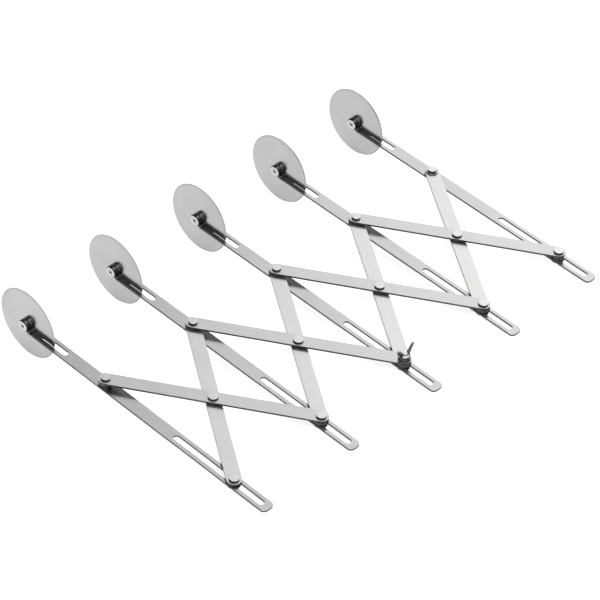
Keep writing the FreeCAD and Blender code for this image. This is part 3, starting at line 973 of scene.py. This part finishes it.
def floor():
    mesh = bpy.data.meshes.new("floor")
    corners = [(x * TABLE_HALF, y * TABLE_HALF, 0) for x, y in ((-1, -1), (1, -1), (1, 1), (-1, 1))]
    mesh.from_pydata(corners, [], [(0, 1, 2, 3)])
    plane = bpy.data.objects.new("floor", mesh)
    bpy.context.scene.collection.objects.link(plane)
    material, tree, shader = new_material("floor_paper")
    coords = tree.nodes.new("ShaderNodeTexCoord")
    grain = noise(tree, coords.outputs["Object"], TABLE_GRAIN, 2.0, 0.5)
    tree.links.new(grey(tree, spread(tree, grain, 0.90, 0.92)), shader.inputs["Base Color"])
    shader.inputs["Roughness"].default_value = 0.9
    shader.inputs["Specular IOR Level"].default_value = 0.1
    shader.inputs["Emission Color"].default_value = (1.0, 1.0, 1.0, 1.0)
    shader.inputs["Emission Strength"].default_value = TABLE_GLOW
    mesh.materials.append(material)


# The studio surround: an even level, a bright patch that the strips' tops mirror
# towards the camera, a dark flag up and to the left, and a soft fill behind the camera.
# Angles are in degrees from the middle of each.
SURROUND = 0.35
PATCH = 1.75
PATCH_TOWARDS = (0.6956, 0.226, 0.682)
PATCH_OUTER = 24.0
PATCH_INNER = 4.0
FLAG_TOWARDS = (-0.45, 0.5, 0.74)
FLAG_OUTER = 42.0
FLAG_INNER = 14.0
FLAG_SHARE = 0.12
FILL = 0.7
FILL_TOWARDS = (-0.6, -0.6, 0.5)
FILL_OUTER = 60.0
FILL_INNER = 20.0
LOW_BAND = 0.6             # extra light near the horizon
LOW_BAND_FULL = 0.3        # height of a direction where the band starts to fade
LOW_BAND_END = 0.62        # and where it has gone
OVERHEAD_PLACE = (-0.2, -0.6, 2.2)
OVERHEAD_SIZE = 1.6
OVERHEAD_POWER = 20.0


def overhead_light():
    data = bpy.data.lights.new("overhead", "AREA")
    data.shape = "RECTANGLE"
    data.size = OVERHEAD_SIZE
    data.size_y = OVERHEAD_SIZE
    data.energy = OVERHEAD_POWER
    light = bpy.data.objects.new("overhead", data)
    bpy.context.scene.collection.objects.link(light)
    light.location = OVERHEAD_PLACE
    light.rotation_mode = "QUATERNION"
    light.rotation_quaternion = (-Vector(OVERHEAD_PLACE)).to_track_quat("-Z", "Y")


def cone(tree, direction, towards, outer, inner, at_outer, at_inner):
    """Value that changes smoothly between two angles from a direction."""
    dot = tree.nodes.new("ShaderNodeVectorMath")
    dot.operation = "DOT_PRODUCT"
    dot.inputs[1].default_value = Vector(towards).normalized()
    tree.links.new(direction, dot.inputs[0])
    fade = tree.nodes.new("ShaderNodeMapRange")
    fade.interpolation_type = "SMOOTHSTEP"
    fade.inputs["From Min"].default_value = math.cos(math.radians(outer))
    fade.inputs["From Max"].default_value = math.cos(math.radians(inner))
    fade.inputs["To Min"].default_value = at_outer
    fade.inputs["To Max"].default_value = at_inner
    tree.links.new(dot.outputs["Value"], fade.inputs["Value"])
    return fade.outputs["Result"]


def world():
    """Light every direction by the levels named above."""
    scene_world = bpy.data.worlds.new("studio")
    bpy.context.scene.world = scene_world
    scene_world.use_nodes = True
    tree = scene_world.node_tree
    coords = tree.nodes.new("ShaderNodeTexCoord")
    direction = coords.outputs["Generated"]
    bright = cone(tree, direction, PATCH_TOWARDS, PATCH_OUTER, PATCH_INNER, SURROUND, PATCH)
    flag = cone(tree, direction, FLAG_TOWARDS, FLAG_OUTER, FLAG_INNER, 1.0, FLAG_SHARE)
    background = tree.nodes["Background"]
    background.inputs["Color"].default_value = (1.0, 1.0, 1.0, 1.0)
    opposite = cone(tree, direction, FILL_TOWARDS, FILL_OUTER, FILL_INNER, 0.0, FILL)
    height = one_axis(tree, direction, "Z")
    low_band = ramp(tree, height, LOW_BAND_FULL, LOW_BAND_END, LOW_BAND, 0.0)
    strength = math_node(tree, "ADD", math_node(tree, "MULTIPLY", bright, flag),
                         math_node(tree, "ADD", opposite, low_band))
    tree.links.new(strength, background.inputs["Strength"])


# The camera's place and two of its directions, in the frame of the middle arm.
CAMERA_PLACE = (-1118.2, -973.6, 1343.0)
CAMERA_FORWARD = (0.56095, 0.47614, -0.67722)
CAMERA_RIGHT = (0.69236, -0.71829, 0.06847)
LENS = 168.66
SENSOR = 36.0


def camera():
    data = bpy.data.cameras.new("camera")
    data.sensor_width = SENSOR
    data.lens = LENS
    data.clip_start = 0.1
    data.clip_end = 50.0
    cam = bpy.data.objects.new("camera", data)
    bpy.context.scene.collection.objects.link(cam)
    forward = Vector(CAMERA_FORWARD).normalized()
    right = Vector(CAMERA_RIGHT)
    right = (right - forward * right.dot(forward)).normalized()
    turn = Matrix((right, right.cross(forward), -forward)).transposed()
    tip = Matrix.Rotation(TILT, 3, "X")
    cam.location = TO_ROW @ Vector(CAMERA_PLACE)
    cam.rotation_mode = "QUATERNION"
    cam.rotation_quaternion = (tip @ turn).to_quaternion()
    bpy.context.scene.camera = cam


floor()
overhead_light()
world()
camera()
bpy.context.scene.view_settings.view_transform = "Standard"
bpy.context.scene.view_settings.look = "None"
bpy.context.scene.view_settings.exposure = 0.0
bpy.context.scene.view_settings.gamma = 1.0
